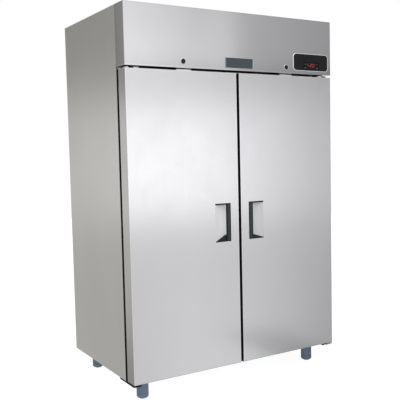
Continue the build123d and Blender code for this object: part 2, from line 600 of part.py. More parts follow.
# ------------------------------------------------------------ evaporator, under the ceiling at the rear
y_evap1 = y_in - 1.0
with BuildPart() as evaporator_housing:
    slab(-evap_x, evap_x, evap_y0, y_evap1, evap_z0, z_in1)
    slab(-evap_x + sheet, evap_x - sheet, evap_y0 + sheet, y_evap1, evap_z0 + sheet, z_in1, Mode.SUBTRACT)
    with BuildSketch(Plane.XZ.offset(-evap_y0 - sheet)) as guards:
        for s in (-1, 1):
            with Locations((s * evap_fan_x, evap_fan_z)):
                for r in (60.0, 50.0, 40.0, 30.0, 20.0):
                    Circle(r + 2.0 if r == 60.0 else r)
                    Circle(r - 6.0, mode=Mode.SUBTRACT)
                for a in (0, 45, 90, 135):
                    Rectangle(140.0, 5.0, rotation=a, mode=Mode.SUBTRACT)
    extrude(amount=sheet, mode=Mode.SUBTRACT)
    with BuildSketch(Plane.XY.offset(evap_z0)) as returns:
        with Locations((0, 270.0)):
            with GridLocations(100.0, 22.0, 9, 4):
                SlotOverall(70.0, 9.0)
    extrude(amount=sheet, mode=Mode.SUBTRACT)
write(evaporator_housing, "evaporator_housing")

with BuildPart() as evaporator_coil:
    slab(-430.0, 430.0, 200.0, 320.0, 1578.0, 1690.0)
    for s in (-1, 1):
        for y in (220.0, 245.0, 270.0, 295.0):
            for z in (1595.0, 1620.0, 1645.0, 1670.0):
                rod_x(y, z, 5.0, s * 429.0, s * 445.0)
write(evaporator_coil, "evaporator_coil")

with BuildPart() as fan_motors:
    for s in (-1, 1):
        rod_y(s * evap_fan_x, evap_fan_z, 28.0, 100.0, 160.0)
        rod_y(s * evap_fan_x, evap_fan_z, 4.0, 68.0, 101.0)
        slab(s * evap_fan_x - 92.0, s * evap_fan_x + 92.0, 98.0, 101.0, evap_fan_z - 8.0, evap_fan_z + 8.0)
        for a in (-1, 1):
            slab(s * evap_fan_x + a * 82.0, s * evap_fan_x + a * 92.0, evap_y0 + sheet, 99.0, evap_fan_z - 8.0, evap_fan_z + 8.0)
    rod_y(cond_fan_x, cond_fan_z, 38.0, -146.0, -76.0)
    rod_y(cond_fan_x, cond_fan_z, 5.0, -182.0, -145.0)
    slab(cond_fan_x - 140.0, cond_fan_x + 140.0, -150.0, -145.0, cond_fan_z - 10.0, cond_fan_z + 10.0)
write(fan_motors, "fan_motors")


def fan_wheel(x, y, z, hub, tip, bore, blades, width_y):
    """Hub with raked blades on a line along Y."""
    rod_y(x, z, hub, y - width_y / 2, y + width_y / 2)
    with Locations(Plane(origin=(x, y, z), x_dir=(1, 0, 0), z_dir=(0, -1, 0))):
        with PolarLocations((tip + hub - 3.0) / 2, blades):
            Box(tip - hub + 3.0, tip * 0.5, 2.0, rotation=(28, 0, 0))
    rod_y(x, z, tip, y - width_y, y + width_y, Mode.INTERSECT)
    rod_y(x, z, bore, y - width_y, y + width_y, Mode.SUBTRACT)


with BuildPart() as evaporator_fan_left:
    fan_wheel(-evap_fan_x, 79.0, evap_fan_z, 18.0, evap_fan_r, 4.05, 5, 22.0)
write(evaporator_fan_left, "evaporator_fan_left")
with BuildPart() as evaporator_fan_right:
    fan_wheel(evap_fan_x, 79.0, evap_fan_z, 18.0, evap_fan_r, 4.05, 5, 22.0)
write(evaporator_fan_right, "evaporator_fan_right")

# ------------------------------------------------------------ condensing unit, on the machine deck
z_unit = z_deck + sheet
with BuildPart() as condenser_coil:
    slab(cond_x0, cond_x1, cond_y0, cond_y1, cond_z0, cond_z1)
    slab(cond_x0, cond_x1, cond_y1 - 1.0, -150.0, cond_z0, cond_z1)
    slab(cond_x0 + 1.5, cond_x1 - 1.5, cond_y1, -151.5, cond_z0 + 1.5, cond_z1 - 1.5, Mode.SUBTRACT)
    rod_y(cond_fan_x, cond_fan_z, cond_fan_r + 8.0, -152.0, -149.0, Mode.SUBTRACT)
    for x in (cond_x0, cond_x1 - 30.0):
        slab(x, x + 30.0, cond_y0, -150.0, z_unit, cond_z0 + 1.0)
write(condenser_coil, "condenser_coil")

with BuildPart() as condenser_fan:
    fan_wheel(cond_fan_x, -170.0, cond_fan_z, 26.0, cond_fan_r, 5.05, 5, 26.0)
write(condenser_fan, "condenser_fan")

with BuildPart() as compressor:
    with BuildSketch(Plane(origin=(comp_x, comp_y, 0), x_dir=(1, 0, 0), z_dir=(0, -1, 0))) as shell:
        with BuildLine():
            Polyline((0, z_unit + 14.0), (comp_r, z_unit + 14.0), (comp_r, 1895.0))
            ThreePointArc((comp_r, 1895.0), (comp_r - 40.0 + 28.284, 1895.0 + 28.284), (comp_r - 40.0, 1935.0))
            Polyline((comp_r - 40.0, 1935.0), (0, 1938.0), (0, z_unit + 14.0))
        make_face()
    revolve(axis=Axis((comp_x, comp_y, 0), (0, 0, 1)))
    slab(comp_x - 115.0, comp_x + 115.0, comp_y - 75.0, comp_y + 75.0, z_unit + 12.0, z_unit + 16.0)
    for x in (-100.0, 100.0):
        for y in (-60.0, 60.0):
            rod_z(comp_x + x, comp_y + y, 13.0, z_unit, z_unit + 12.0)
    slab(comp_x - 35.0, comp_x + 35.0, comp_y - comp_r - 26.0, comp_y - comp_r + 14.0, 1815.0, 1885.0)
write(compressor, "compressor")


def tube(points, r, bend):
    with BuildLine() as path:
        FilletPolyline(*points, radius=bend)
    start = path.line @ 0
    with BuildSketch(Plane(origin=start, z_dir=path.line % 0)) as s:
        Circle(r)
    sweep(s.sketch, path=path.line)


with BuildPart() as refrigerant_lines:
    tube([(comp_x + comp_r + 0.4, comp_y, 1880), (10, comp_y, 1880), (10, comp_y, 2040), (10, -227, 2040), (cond_x0 - 0.4, -227, 2040)], 4.0, 18.0)
    tube([(cond_x0 - 0.4, -227, 1812), (20, -227, 1812), (20, -90, 1812), (-40, -90, 1812), (-40, -90, z_unit + 0.3)], 3.2, 12.0)
    rod_y(20.0, 1812.0, 12.0, -205.0, -125.0)
    tube([(-268, -60, z_unit + 0.3), (-268, -60, 1850), (-268, comp_y, 1850), (comp_x - comp_r - 0.4, comp_y, 1850)], 6.0, 16.0)
write(refrigerant_lines, "refrigerant_lines")

with BuildPart() as electrical_box:
    slab(440.0, 640.0, -100.0, 60.0, z_unit, 1900.0)
    slab(437.0, 643.0, -103.0, 63.0, 1896.0, 1912.0)
    chamfer(electrical_box.faces().sort_by(Axis.Z)[-1].edges(), 3.0)
write(electrical_box, "electrical_box")

# Cable gland in the rear grille; the supply cord itself is not part of this object.
with BuildPart() as cable_gland:
    rod_y(560.0, 1805.0, 9.0, y_grille - 12.0, y_grille + sheet)
    with BuildSketch(Plane.XZ.offset(-(y_grille + sheet + 5.0))) as outer_nut:
        with Locations((560.0, 1805.0)):
            RegularPolygon(13.0, 6)
    extrude(amount=5.0)
    rod_y(560.0, 1805.0, 10.0, y_grille + sheet + 4.0, y_back - 0.8)
    with BuildSketch(Plane.XZ.offset(-y_grille)) as inner_nut:
        with Locations((560.0, 1805.0)):
            RegularPolygon(13.0, 6)
    extrude(amount=4.0)
    rod_y(560.0, 1805.0, 5.0, y_grille - 12.0, y_back, Mode.SUBTRACT)
write(cable_gland, "cable_gland")

# ------------------------------------------------------------ fasteners
with BuildPart() as cabinet_screws:
    for s in (-1, 1):
        for y in (-295.0, -255.0):
            rod_z(s * 660.0, y, 6.0, 106.5, 110.0)
        for x, z in ((612.0, 1800.0), (654.0, 1800.0)):
            rod_y(s * x, z, 6.0, y_cab - 8.5, y_cab - 5.0)
        for z in (1790.0, 1930.0, 2070.0):
            rod_y(s * 670.0, z, 5.0, y_grille + sheet, y_grille + sheet + 2.5)
    chamfer(cabinet_screws.edges().filter_by(GeomType.CIRCLE).group_by(Axis.Z)[0], 0.8)
write(cabinet_screws, "cabinet_screws")
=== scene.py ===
import json
import math

import bmesh
import bpy
from mathutils import Matrix, Vector


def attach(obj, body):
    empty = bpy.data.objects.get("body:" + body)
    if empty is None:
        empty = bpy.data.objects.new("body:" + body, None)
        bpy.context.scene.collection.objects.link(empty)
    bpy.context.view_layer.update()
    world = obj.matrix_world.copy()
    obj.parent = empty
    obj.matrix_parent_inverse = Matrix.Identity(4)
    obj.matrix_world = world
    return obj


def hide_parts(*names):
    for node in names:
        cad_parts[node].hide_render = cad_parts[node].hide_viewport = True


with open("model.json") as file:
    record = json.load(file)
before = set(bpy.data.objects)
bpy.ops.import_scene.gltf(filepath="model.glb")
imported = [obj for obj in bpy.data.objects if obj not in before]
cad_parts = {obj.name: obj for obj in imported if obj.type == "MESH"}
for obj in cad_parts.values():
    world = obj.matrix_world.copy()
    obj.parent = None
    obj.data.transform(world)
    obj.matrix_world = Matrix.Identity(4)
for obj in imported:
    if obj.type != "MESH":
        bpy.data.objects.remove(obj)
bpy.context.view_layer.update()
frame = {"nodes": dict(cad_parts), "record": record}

N = frame["nodes"]
scene = bpy.context.scene
MM = 0.001


# ------------------------------------------------------------------ node helpers
def new_material(name):
    m = bpy.data.materials.new(name)
    m.use_nodes = True
    nt = m.node_tree
    nt.nodes.clear()
    out = nt.nodes.new("ShaderNodeOutputMaterial")
    bsdf = nt.nodes.new("ShaderNodeBsdfPrincipled")
    nt.links.new(bsdf.outputs[0], out.inputs[0])
    return m, nt, bsdf


def coords(nt, scale=(1, 1, 1), rot=(0, 0, 0)):
    tc = nt.nodes.new("ShaderNodeTexCoord")
    mp = nt.nodes.new("ShaderNodeMapping")
    mp.inputs["Scale"].default_value = scale
    mp.inputs["Rotation"].default_value = rot
    nt.links.new(tc.outputs["Object"], mp.inputs["Vector"])
    return mp.outputs["Vector"]


def noise(nt, vec, scale=5.0, detail=3.0, rough=0.55, distort=0.0):
    n = nt.nodes.new("ShaderNodeTexNoise")
    n.inputs["Scale"].default_value = scale
    n.inputs["Detail"].default_value = detail
    n.inputs["Roughness"].default_value = rough
    n.inputs["Distortion"].default_value = distort
    nt.links.new(vec, n.inputs["Vector"])
    return n.outputs["Fac"]


def ramp(nt, fac, stops):
    r = nt.nodes.new("ShaderNodeValToRGB")
    els = r.color_ramp.elements
    while len(els) < len(stops):
        els.new(0.5)
    for e, (p, c) in zip(els, stops):
        e.position = p
        e.color = (c[0], c[1], c[2], 1) if hasattr(c, "__len__") else (c, c, c, 1)
    nt.links.new(fac, r.inputs[0])
    return r.outputs[0]


def maprange(nt, val, a, b, c, d, smooth=False):
    m = nt.nodes.new("ShaderNodeMapRange")
    m.interpolation_type = "SMOOTHSTEP" if smooth else "LINEAR"
    m.inputs["From Min"].default_value = a
    m.inputs["From Max"].default_value = b
    m.inputs["To Min"].default_value = c
    m.inputs["To Max"].default_value = d
    nt.links.new(val, m.inputs["Value"])
    return m.outputs["Result"]


def math_node(nt, op, a, b=None):
    m = nt.nodes.new("ShaderNodeMath")
    m.operation = op
    for i, v in enumerate((a, b)):
        if v is None:
            continue
        if isinstance(v, (int, float)):
            m.inputs[i].default_value = v
        else:
            nt.links.new(v, m.inputs[i])
    return m.outputs[0]


def blend(nt, a, b, w):
    """a where w is 0, b where it is 1."""
    return math_node(nt, "ADD", math_node(nt, "MULTIPLY", a, math_node(nt, "SUBTRACT", 1.0, w)), math_node(nt, "MULTIPLY", b, w))


def mix_color(nt, fac, a, b, blend="MIX"):
    m = nt.nodes.new("ShaderNodeMix")
    m.data_type = "RGBA"
    m.blend_type = blend
    for sock, v in ((m.inputs["Factor"], fac), (m.inputs[6], a), (m.inputs[7], b)):
        if isinstance(v, (int, float)):
            sock.default_value = v
        elif hasattr(v, "__len__"):
            sock.default_value = (v[0], v[1], v[2], 1)
        else:
            nt.links.new(v, sock)
    return m.outputs[2]


def bump(nt, bsdf, height, strength, distance=0.001):
    b = nt.nodes.new("ShaderNodeBump")
    b.inputs["Strength"].default_value = strength
    b.inputs["Distance"].default_value = distance
    nt.links.new(height, b.inputs["Height"])
    nt.links.new(b.outputs[0], bsdf.inputs["Normal"])


GRAIN = {"z": (4200, 4200, 36), "x": (36, 4200, 4200), "y": (4200, 36, 4200), "none": (160, 160, 160)}


def curve(nt, fac, lo, hi, stops, smooth=True):
    """A piecewise function: value against fac, which runs from lo to hi."""
    t = maprange(nt, fac, lo, hi, 0.0, 1.0)
    top = max(v for _, v in stops)
    r = nt.nodes.new("ShaderNodeValToRGB")
    r.color_ramp.interpolation = "LINEAR"
    els = r.color_ramp.elements
    while len(els) < len(stops):
        els.new(0.5)
    for e, (p, v) in zip(els, stops):
        e.position = (p - lo) / (hi - lo)
        e.color = (v / top, v / top, v / top, 1)
    nt.links.new(t, r.inputs[0])
    return math_node(nt, "MULTIPLY", r.outputs[0], top)


def brushed(name, base, rough=0.36, grain="z", vary=0.05, strength=0.05, metallic=1.0, spots=0.0, aniso=0.0, edge=1.0, pocket=False, edge_light_lines=(), painted_light_z=()):
    """Brushed or rolled sheet: stretched grain in roughness and bump, faint cloudy colour and handling marks."""
    m, nt, bsdf = new_material(name)
    fine = noise(nt, coords(nt, GRAIN[grain]), 1.0, 2.0, 0.6)
    coarse = noise(nt, coords(nt, tuple(s * 0.07 for s in GRAIN[grain])), 1.0, 3.0, 0.5)
    cloud = noise(nt, coords(nt, (1, 1, 0.6)), 2.3, 4.0, 0.55)
    smudge = noise(nt, coords(nt, (1, 1, 1)), 9.0, 6.0, 0.62, 0.4)
    lo = tuple(c * (1 - vary) for c in base)
    hi = tuple(min(1.0, c * (1 + vary)) for c in base)
    col = ramp(nt, cloud, [(0.32, lo), (0.68, hi)])
    streak = ramp(nt, coarse, [(0.3, 0.988), (0.7, 1.0)])
    col = mix_color(nt, 1.0, col, streak, "MULTIPLY")
    if spots:
        cells = nt.nodes.new("ShaderNodeTexVoronoi")
        cells.inputs["Scale"].default_value = 120.0
        nt.links.new(coords(nt), cells.inputs["Vector"])
        spangle = ramp(nt, cells.outputs["Color"], [(0.2, 1.0 - spots), (0.8, 1.0)])
        col = mix_color(nt, 1.0, col, spangle, "MULTIPLY")
    if edge != 1.0:
        # the folded returns, the faces whose normal runs along X, are darker than the front by the factor edge
        tn = nt.nodes.new("ShaderNodeTexCoord")
        sp = nt.nodes.new("ShaderNodeSeparateXYZ")
        nt.links.new(tn.outputs["Normal"], sp.inputs[0])
        side_on = maprange(nt, math_node(nt, "ABSOLUTE", sp.outputs[0]), 0.75, 0.95, 1.0, edge)
        if painted_light_z:
            # painted shade and painted highlight along the returns, set by height: darker near the floor, lighter at
            # mid height
            tz = nt.nodes.new("ShaderNodeTexCoord")
            sz = nt.nodes.new("ShaderNodeSeparateXYZ")
            nt.links.new(tz.outputs["Object"], sz.inputs[0])
            along = curve(nt, sz.outputs[2], 0.0, 2.2, painted_light_z)
            on_side = maprange(nt, math_node(nt, "ABSOLUTE", sp.outputs[0]), 0.75, 0.95, 0.0, 1.0)
            side_on = math_node(nt, "MULTIPLY", side_on, blend(nt, math_node(nt, "ADD", 1.0, 0.0), along, on_side))
        col = mix_color(nt, 1.0, col, side_on, "MULTIPLY")
    if edge_light_lines:
        # painted highlights and painted shade lines along the bend lines and edges: (axis, from, to, gain) in metres,
        # on the absolute value across the width; a gain above 1 paints a highlight, below 1 a shade line
        th = nt.nodes.new("ShaderNodeTexCoord")
        sh = nt.nodes.new("ShaderNodeSeparateXYZ")
        nt.links.new(th.outputs["Object"], sh.inputs[0])
        for ax, lo_h, hi_h, gain in edge_light_lines:
            v = math_node(nt, "ABSOLUTE", sh.outputs[ax])
            on = math_node(nt, "MULTIPLY", math_node(nt, "GREATER_THAN", v, lo_h), math_node(nt, "LESS_THAN", v, hi_h))
            col = mix_color(nt, 1.0, col, maprange(nt, on, 0.0, 1.0, 1.0, gain), "MULTIPLY")
    nt.links.new(col, bsdf.inputs["Base Color"])
    r1 = maprange(nt, fine, 0.25, 0.75, rough - 0.025, rough + 0.025)
    r2 = maprange(nt, smudge, 0.35, 0.75, -0.01, 0.02)
    nt.links.new(math_node(nt, "ADD", r1, r2), bsdf.inputs["Roughness"])
    bsdf.inputs["Metallic"].default_value = metallic
    if pocket:
        # the drawn pocket of the pull is blasted, softer than the face: rougher and less metallic; its colour is
        # painted lighter towards the deep end by the bar, where shade falls
        tp = nt.nodes.new("ShaderNodeTexCoord")
        so = nt.nodes.new("ShaderNodeSeparateXYZ")
        nt.links.new(tp.outputs["Object"], so.inputs[0])
        ux = math_node(nt, "ABSOLUTE", so.outputs[0])
        inside = math_node(nt, "MULTIPLY", math_node(nt, "GREATER_THAN", ux, 0.0625), math_node(nt, "LESS_THAN", ux, 0.1632))
        inside = math_node(nt, "MULTIPLY", inside, math_node(nt, "MULTIPLY", math_node(nt, "GREATER_THAN", so.outputs[2], 0.8285), math_node(nt, "LESS_THAN", so.outputs[2], 1.0385)))
        deep = math_node(nt, "GREATER_THAN", so.outputs[1], -0.41595)
        inside = math_node(nt, "MULTIPLY", inside, math_node(nt, "MULTIPLY", deep, math_node(nt, "LESS_THAN", so.outputs[1], -0.3778)))
        pocket_light_ramp = ramp(nt, maprange(nt, ux, 0.088, 0.163, 0.0, 1.0), [(0.0, (0.98, 0.98, 0.985)), (1.0, (0.78, 0.78, 0.785))])
        # painted shade: the right door's pocket is painted darker than the left one, and each pocket is darker towards
        # its bottom and lighter towards its top
        pocket_painted_shade = maprange(nt, so.outputs[0], -0.01, 0.01, 1.0, 0.80)
        pocket_painted_shade = math_node(nt, "MULTIPLY", pocket_painted_shade, maprange(nt, so.outputs[2], 0.84, 1.03, 0.96, 1.04))
        col2 = mix_color(nt, inside, col, mix_color(nt, 1.0, pocket_light_ramp, pocket_painted_shade, "MULTIPLY"))
        nt.links.new(col2, bsdf.inputs["Base Color"])
        # painted light: the pocket glows, standing in for light bouncing between its walls, strongest behind the bar
        # and a little weaker on the right door
        pocket_painted_glow = math_node(nt, "MULTIPLY", inside, maprange(nt, ux, 0.090, 0.125, 0.15, 0.0))
        bsdf.inputs["Emission Color"].default_value = (1, 1, 1, 1)
        nt.links.new(math_node(nt, "MULTIPLY", pocket_painted_glow, maprange(nt, so.outputs[0], -0.01, 0.01, 1.0, 0.9)), bsdf.inputs["Emission Strength"])
        nt.links.new(blend(nt, math_node(nt, "ADD", r1, r2), math_node(nt, "ADD", 0.70, 0.0), inside), bsdf.inputs["Roughness"])
        nt.links.new(maprange(nt, inside, 0.0, 1.0, metallic, 0.05), bsdf.inputs["Metallic"])
    if aniso:
        bsdf.inputs["Anisotropic"].default_value = abs(aniso)
        if aniso < 0:
            bsdf.inputs["Anisotropic Rotation"].default_value = 0.25
        tan = nt.nodes.new("ShaderNodeTangent")
        tan.direction_type = "RADIAL"
        tan.axis = "Z"
        nt.links.new(tan.outputs[0], bsdf.inputs["Tangent"])
    bump(nt, bsdf, fine, strength, 0.0002)
    return m


def plastic(name, base, rough=0.45, vary=0.12, grain=900.0, strength=0.12, coat=0.0, metallic=0.0, wear=None, spec=0.5):
    """Moulded plastic or powder coat: fine pebble bump, cloudy tone, worn patches."""
    m, nt, bsdf = new_material(name)
    cloud = noise(nt, coords(nt), 6.0, 4.0, 0.55)
    pebble = noise(nt, coords(nt), grain, 2.0, 0.5)
    rub = noise(nt, coords(nt), 28.0, 5.0, 0.6, 0.3)
    lo = tuple(c * (1 - vary) for c in base)
    hi = tuple(min(1.0, c * (1 + vary)) for c in base)
    col = ramp(nt, cloud, [(0.3, lo), (0.7, hi)])
    if wear:
        col = mix_color(nt, maprange(nt, rub, 0.62, 0.8, 0.0, 0.5), col, wear)
    nt.links.new(col, bsdf.inputs["Base Color"])
    nt.links.new(maprange(nt, rub, 0.3, 0.7, rough - 0.06, rough + 0.08), bsdf.inputs["Roughness"])
    bsdf.inputs["Metallic"].default_value = metallic
    bsdf.inputs["Specular IOR Level"].default_value = spec
    if coat:
        bsdf.inputs["Coat Weight"].default_value = coat
        bsdf.inputs["Coat Roughness"].default_value = 0.12
    bump(nt, bsdf, pebble, strength, 0.0003)
    return m


def glow(name, color, strength, rough=0.25):
    m, nt, bsdf = new_material(name)
    flicker = noise(nt, coords(nt), 700.0, 1.0)
    nt.links.new(ramp(nt, flicker, [(0.3, tuple(c * 0.8 for c in color)), (0.7, color)]), bsdf.inputs["Base Color"])
    nt.links.new(maprange(nt, flicker, 0.3, 0.7, rough - 0.05, rough + 0.05), bsdf.inputs["Roughness"])
    bsdf.inputs["Emission Color"].default_value = (*color, 1)
    bsdf.inputs["Emission Strength"].default_value = strength
    return m


# ------------------------------------------------------------------ mesh helpers
def make(name, verts, faces, mat, body, slot=None, smooth=35.0, bevel=0.0, segs=2):
    me = bpy.data.meshes.new(name)
    me.from_pydata([tuple(v) for v in verts], [], faces)
    me.validate()
    bm = bmesh.new()
    bm.from_mesh(me)
    bmesh.ops.remove_doubles(bm, verts=bm.verts, dist=1e-6)
    bmesh.ops.recalc_face_normals(bm, faces=bm.faces)
    bm.to_mesh(me)
    bm.free()
    ob = bpy.data.objects.new(name, me)
    scene.collection.objects.link(ob)
    me.materials.append(mat)
    if bevel:
        b = ob.modifiers.new("edge", "BEVEL")
        b.width = bevel
        b.segments = segs
        b.limit_method = "ANGLE"
        b.angle_limit = math.radians(40)
        b.harden_normals = False
    for p in me.polygons:
        p.use_smooth = True
    me.set_sharp_from_angle(angle=math.radians(smooth))
    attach(ob, body)
    return ob


class Shape:
    """Collects vertices and faces of one piece."""

    def __init__(self):
        self.v, self.f = [], []

    def add(self, verts, faces):
        o = len(self.v)
        self.v += [tuple(p) for p in verts]
        self.f += [tuple(i + o for i in f) for f in faces]
        return self

    def box(self, x0, x1, y0, y1, z0, z1):
        v = [(x, y, z) for x in (x0, x1) for y in (y0, y1) for z in (z0, z1)]
        f = [(0, 1, 3, 2), (4, 6, 7, 5), (0, 4, 5, 1), (2, 3, 7, 6), (0, 2, 6, 4), (1, 5, 7, 3)]
        return self.add(v, f)

    def loft(self, rings, cap0=True, cap1=True, closed_ring=True, loop=False):
        n = len(rings[0])
        v = [p for r in rings for p in r]
        f = []
        m = len(rings)
        for i in range(m if loop else m - 1):
            j = (i + 1) % m
            for k in range(n if closed_ring else n - 1):
                l = (k + 1) % n
                f.append((i * n + k, i * n + l, j * n + l, j * n + k))
        if cap0 and not loop:
            f.append(tuple(range(n))[::-1])
        if cap1 and not loop:
            f.append(tuple((m - 1) * n + k for k in range(n)))
        return self.add(v, f)

    def tube(self, pts, r, seg=10, closed=False, caps=True):
        pts = [Vector(p) for p in pts]
        n = len(pts)
        rings = []
        t_prev, nrm = None, None
        for i, p in enumerate(pts):
            if closed:
                t = (pts[(i + 1) % n] - pts[i - 1]).normalized()
            else:
                a, b = pts[max(0, i - 1)], pts[min(n - 1, i + 1)]
                t = (b - a).normalized()
            if nrm is None:
                ref = Vector((0, 0, 1)) if abs(t.z) < 0.9 else Vector((1, 0, 0))
                nrm = t.cross(ref).normalized()
            else:
                nrm = (nrm - t * nrm.dot(t)).normalized()
            bi = t.cross(nrm)
            rr = r[i] if hasattr(r, "__len__") else r
            rings.append([p + (nrm * math.cos(2 * math.pi * k / seg) + bi * math.sin(2 * math.pi * k / seg)) * rr for k in range(seg)])
        return self.loft(rings, cap0=caps, cap1=caps, loop=closed)

    def lathe(self, centre, axis, profile, seg=40):
        """profile: (radius, distance along axis) pairs, closed by caps where the radius isn't zero."""
        a = Vector(axis).normalized()
        ref = Vector((0, 0, 1)) if abs(a.z) < 0.9 else Vector((1, 0, 0))
        u = a.cross(ref).normalized()
        w = a.cross(u)
        c = Vector(centre)
        rings = [[c + a * h + (u * math.cos(2 * math.pi * k / seg) + w * math.sin(2 * math.pi * k / seg)) * max(r, 1e-6) for k in range(seg)] for r, h in profile]
        return self.loft(rings)

    def out(self, name, mat, body, slot=None, **kw):
        return make(name, self.v, self.f, mat, body, slot, **kw)


def rrect(x0, x1, z0, z1, r, n=6):
    """Corner-rounded rectangle as (x, z) points, anticlockwise."""
    pts = []
    for cx, cz, a0 in ((x1 - r, z0 + r, -90), (x1 - r, z1 - r, 0), (x0 + r, z1 - r, 90), (x0 + r, z0 + r, 180)):
        for i in range(n + 1):
            a = math.radians(a0 + 90 * i / n)
            pts.append((cx + r * math.cos(a), cz + r * math.sin(a)))
    return pts


def face_ring(x0, x1, z0, z1, r, y, n=6):
    return [(x, y, z) for x, z in rrect(x0, x1, z0, z1, r, n)]


# ------------------------------------------------------------------ camera
cam_data = bpy.data.cameras.new("camera")
cam = bpy.data.objects.new("camera", cam_data)
scene.collection.objects.link(cam)
cam_data.sensor_width = 36.0
cam_data.lens = 659.0 / 400.0 * 36.0
cam_data.clip_start, cam_data.clip_end = 0.05, 60.0
fwd = Vector((0.5162, 0.8533, -0.0735)).normalized()
right = Vector((0.8545, -0.5189, -0.0224))
right = (right - fwd * right.dot(fwd)).normalized()
up = right.cross(fwd)
rot = Matrix((right, up, -fwd)).transposed()
cam.matrix_world = Matrix.Translation(Vector((-2.104, -3.463, 1.330))) @ rot.to_4x4()
scene.camera = cam

# ------------------------------------------------------------------ floor, world and lights
def azimuth(nt, x, y):
    """Degrees from -Y towards +X."""
    a = math_node(nt, "ARCTAN2", x, math_node(nt, "MULTIPLY", y, -1.0))
    return math_node(nt, "MULTIPLY", a, 180.0 / math.pi)


# radiance of the studio by azimuth: at the height of the horizon, above it and on the floor
BAND = [(-180, 0.45), (-161, 0.25), (-158, 0.39), (-155.5, 1.25), (-153, 1.36), (-120, 0.95), (-80, 0.98), (-70, 1.12), (-55, 1.12), (-45, 0.98), (-5, 1.08), (12, 1.16), (19, 1.42), (24, 1.56), (31, 1.66), (35, 1.35), (40, 0.60), (47, 0.28), (64, 0.52), (80, 1.35), (100, 1.30), (125, 0.85), (180, 0.45)]
HIGH = [(-180, 0.24), (-161, 0.24), (-156, 0.30), (-154, 0.55), (-120, 0.40), (-80, 0.80), (-70, 1.12), (-55, 1.12), (-45, 0.88), (-5, 1.02), (16, 1.06), (22, 1.23), (25.3, 1.20), (28.5, 1.065), (31.3, 0.90), (34.6, 0.965), (35.1, 0.633), (37.5, 0.576), (41.6, 0.497), (47, 0.40), (64, 0.42), (80, 1.10), (100, 1.05), (125, 0.60), (180, 0.24)]
LOW = [(-180, 0.50), (-161, 0.50), (-158, 0.52), (-155, 0.62), (-75, 0.66), (0, 0.70), (22, 0.72), (29, 0.83), (33, 0.85), (38, 0.67), (44, 0.42), (60, 0.44), (80, 0.80), (120, 0.70), (180, 0.50)]

world = bpy.data.worlds.new("studio")
scene.world = world
world.use_nodes = True
wt = world.node_tree
wt.nodes.clear()
wout = wt.nodes.new("ShaderNodeOutputWorld")
wtc = wt.nodes.new("ShaderNodeTexCoord")
wsep = wt.nodes.new("ShaderNodeSeparateXYZ")
wt.links.new(wtc.outputs["Generated"], wsep.inputs[0])
az = azimuth(wt, wsep.outputs[0], wsep.outputs[1])
el = math_node(wt, "MULTIPLY", math_node(wt, "ARCSINE", wsep.outputs[2]), 180.0 / math.pi)
band_c = curve(wt, az, -180, 180, BAND)
high_c = curve(wt, az, -180, 180, HIGH)
low_c = curve(wt, az, -180, 180, LOW)
# weight of the bright band, of the zone above it and of the sky overhead
w_band = curve(wt, el, -90, 90, [(-9.5, 0.0), (-5.5, 1.0), (3.7, 1.0), (5.6, 0.0)])
w_up = curve(wt, el, -90, 90, [(-1.5, 0.0), (-0.5, 1.0)])
w_top = maprange(wt, el, 14.0, 50.0, 0.0, 1.0, True)
base_l = math_node(wt, "ADD", math_node(wt, "MULTIPLY", high_c, w_up), math_node(wt, "MULTIPLY", low_c, math_node(wt, "SUBTRACT", 1.0, w_up)))


total = blend(wt, base_l, band_c, w_band)
total = blend(wt, total, math_node(wt, "ADD", 0.85, 0.0), w_top)
# a darker bar between the bright band and the zone above it, in front only
dip = curve(wt, el, -90, 90, [(4.2, 0.0), (4.9, 1.0), (6.6, 1.0), (7.2, 0.0)])
dip = math_node(wt, "MULTIPLY", dip, math_node(wt, "GREATER_THAN", az, 0.0))
dip_gain = maprange(wt, az, 26.0, 37.0, 0.52, 0.63)
total = blend(wt, total, math_node(wt, "MULTIPLY", total, dip_gain), dip)
fade = curve(wt, el, -90, 90, [(6.8, 1.0), (7.4, 1.07), (9.2, 1.05), (11.2, 0.95), (15.0, 0.92)])
front_on = math_node(wt, "MULTIPLY", math_node(wt, "GREATER_THAN", az, 0.0), math_node(wt, "LESS_THAN", az, 34.5))
total = blend(wt, total, math_node(wt, "MULTIPLY", total, fade), front_on)
bg_light = wt.nodes.new("ShaderNodeBackground")
wt.links.new(total, bg_light.inputs["Strength"])
# the light from behind on the left is a little warmer than that from the front
tint = wt.nodes.new("ShaderNodeValToRGB")
tint.color_ramp.elements[0].position, tint.color_ramp.elements[0].color = 0.12, (1.0, 0.985, 0.945, 1)
tint.color_ramp.elements[1].position, tint.color_ramp.elements[1].color = 0.45, (0.995, 0.99, 1.0, 1)
wt.links.new(maprange(wt, az, -180.0, 180.0, 0.0, 1.0), tint.inputs[0])
cool = math_node(wt, "MULTIPLY", maprange(wt, az, 31.0, 37.0, 0.0, 1.0), maprange(wt, az, 60.0, 90.0, 1.0, 0.0))
cool = math_node(wt, "MULTIPLY", cool, curve(wt, el, -90, 90, [(-4.0, 0.0), (-1.5, 1.0), (6.0, 1.0), (6.8, 0.0)]))
tinted = mix_color(wt, cool, tint.outputs[0], (0.965, 0.960, 1.0))
plain = math_node(wt, "MULTIPLY", w_band, maprange(wt, az, -150.0, -140.0, 0.8, 0.0))
tinted = mix_color(wt, plain, tinted, (0.992, 0.988, 0.985))
wt.links.new(tinted, bg_light.inputs["Color"])
bg_cam = wt.nodes.new("ShaderNodeBackground")
bg_cam.inputs["Color"].default_value = (1, 1, 1, 1)
bg_cam.inputs["Strength"].default_value = 1.0
lp = wt.nodes.new("ShaderNodeLightPath")
mx = wt.nodes.new("ShaderNodeMixShader")
wt.links.new(lp.outputs["Is Camera Ray"], mx.inputs[0])
wt.links.new(bg_light.outputs[0], mx.inputs[1])
wt.links.new(bg_cam.outputs[0], mx.inputs[2])
wt.links.new(mx.outputs[0], wout.inputs[0])
